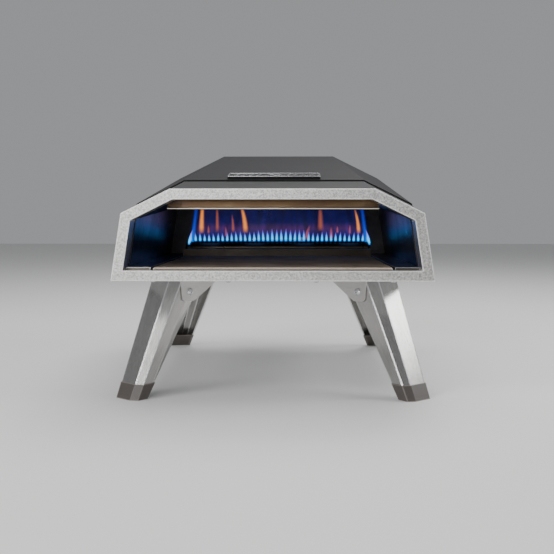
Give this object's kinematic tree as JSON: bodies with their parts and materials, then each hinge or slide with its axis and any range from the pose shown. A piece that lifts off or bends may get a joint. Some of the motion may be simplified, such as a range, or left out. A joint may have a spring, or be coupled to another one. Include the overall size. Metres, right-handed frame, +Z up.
{
  "type": "gas-fired pizza oven",
  "caption": "Portable tabletop pizza oven: wedge casing with a wide open mouth, baking stone, rear tube burner and folding legs.",
  "frame": {"origin": "on the ground, at the middle of the oven's bounding box", "axes": "+Z up, -Y out of the mouth, +X to the right for someone facing the mouth"},
  "size_m": [0.44, 0.55, 0.37],
  "materials": {
    "badge_black": "gloss",
    "badge_chrome": "polished",
    "black_plastic": "satin",
    "black_powder_coat": "matte",
    "black_screw": "satin",
    "brass": "satin",
    "brushed_dial": "satin",
    "burner_steel": "satin",
    "cast_aluminium": "satin",
    "ceramic_wool": "matte",
    "cordierite": "matte",
    "foot_rubber": "satin",
    "galvanised_sheet": "satin",
    "lead_sleeve": "matte",
    "liner_steel": "satin",
    "nylon": "satin",
    "stainless_dark": "satin",
    "stainless_leg": "satin",
    "stainless_satin": "satin",
    "tinted_steel": "satin",
    "white_ceramic": "gloss",
    "zinc_steel": "gloss"
  },
  "bodies": {
    "oven": {"front_bezel": "stainless_satin", "front_hood": "stainless_dark", "roof_shell": "black_powder_coat", "base_pan": "galvanised_sheet", "rear_panel": "black_powder_coat", "chamber_liner": "liner_steel", "liner_back": "liner_steel", "chamber_floor": "liner_steel", "front_baffle": "tinted_steel", "insulation_blanket": "ceramic_wool", "insulation_rear": "ceramic_wool", "heat_shield": "galvanised_sheet", "pizza_stone": "cordierite", "stone_rails": "liner_steel", "burner_tube": "burner_steel", "burner_brackets": "liner_steel", "burner_guard": "burner_steel", "venturi_tube": "burner_steel", "air_shutter": "brass", "gas_jet": "brass", "valve_body": "cast_aluminium", "knob_bezel": "brushed_dial", "gas_pipe": "cast_aluminium", "gas_inlet": "brass", "inlet_nut": "brass", "igniter_electrode": "white_ceramic", "igniter_lead": "lead_sleeve", "flame_sensor": "zinc_steel", "sensor_lead": "lead_sleeve", "badge_plate": "badge_black", "badge_frame": "badge_chrome", "badge_marks": "badge_chrome", "bracket_front_left": "stainless_leg", "bracket_front_right": "stainless_leg", "bracket_rear_left": "stainless_leg", "bracket_rear_right": "stainless_leg", "leg_bolts": "zinc_steel", "leg_nuts": "zinc_steel", "leg_washers": "nylon", "bracket_screws": "zinc_steel", "bezel_screws": "zinc_steel", "shell_screws": "black_screw", "rear_screws": "black_screw", "baffle_rivets": "zinc_steel"},
    "leg_front_left": {"leg_front_left": "stainless_leg", "foot_front_left": "foot_rubber"},
    "leg_front_right": {"leg_front_right": "stainless_leg", "foot_front_right": "foot_rubber"},
    "leg_rear_left": {"leg_rear_left": "stainless_leg", "foot_rear_left": "foot_rubber"},
    "leg_rear_right": {"leg_rear_right": "stainless_leg", "foot_rear_right": "foot_rubber"},
    "plunger": {"valve_plunger": "brass"},
    "knob": {"valve_stem": "zinc_steel", "control_knob": "black_plastic"}
  },
  "joints": [
    {"name": "leg_front_left_fold", "type": "hinge", "parent": "oven", "child": "leg_front_left", "pos_m": [-0.1235, -0.194, 0.1445], "axis": [0.766, -0.6428, 0], "range_deg": [0, 120]},
    {"name": "leg_front_right_fold", "type": "hinge", "parent": "oven", "child": "leg_front_right", "pos_m": [0.1235, -0.194, 0.1445], "axis": [0.766, 0.6428, 0], "range_deg": [0, 120]},
    {"name": "leg_rear_left_fold", "type": "hinge", "parent": "oven", "child": "leg_rear_left", "pos_m": [-0.1235, 0.164, 0.1445], "axis": [-0.766, -0.6428, 0], "range_deg": [0, 120]},
    {"name": "leg_rear_right_fold", "type": "hinge", "parent": "oven", "child": "leg_rear_right", "pos_m": [0.1235, 0.164, 0.1445], "axis": [-0.766, 0.6428, 0], "range_deg": [0, 120]},
    {"name": "knob_press", "type": "slide", "parent": "oven", "child": "plunger", "axis": [0, -1, 0], "range_m": [0, 0.004], "stiffness_N_per_m": 800},
    {"name": "knob_turn", "type": "hinge", "parent": "plunger", "child": "knob", "pos_m": [0, 0.245, 0.213], "axis": [0, 1, 0], "range_deg": [0, 225]}
  ]
}
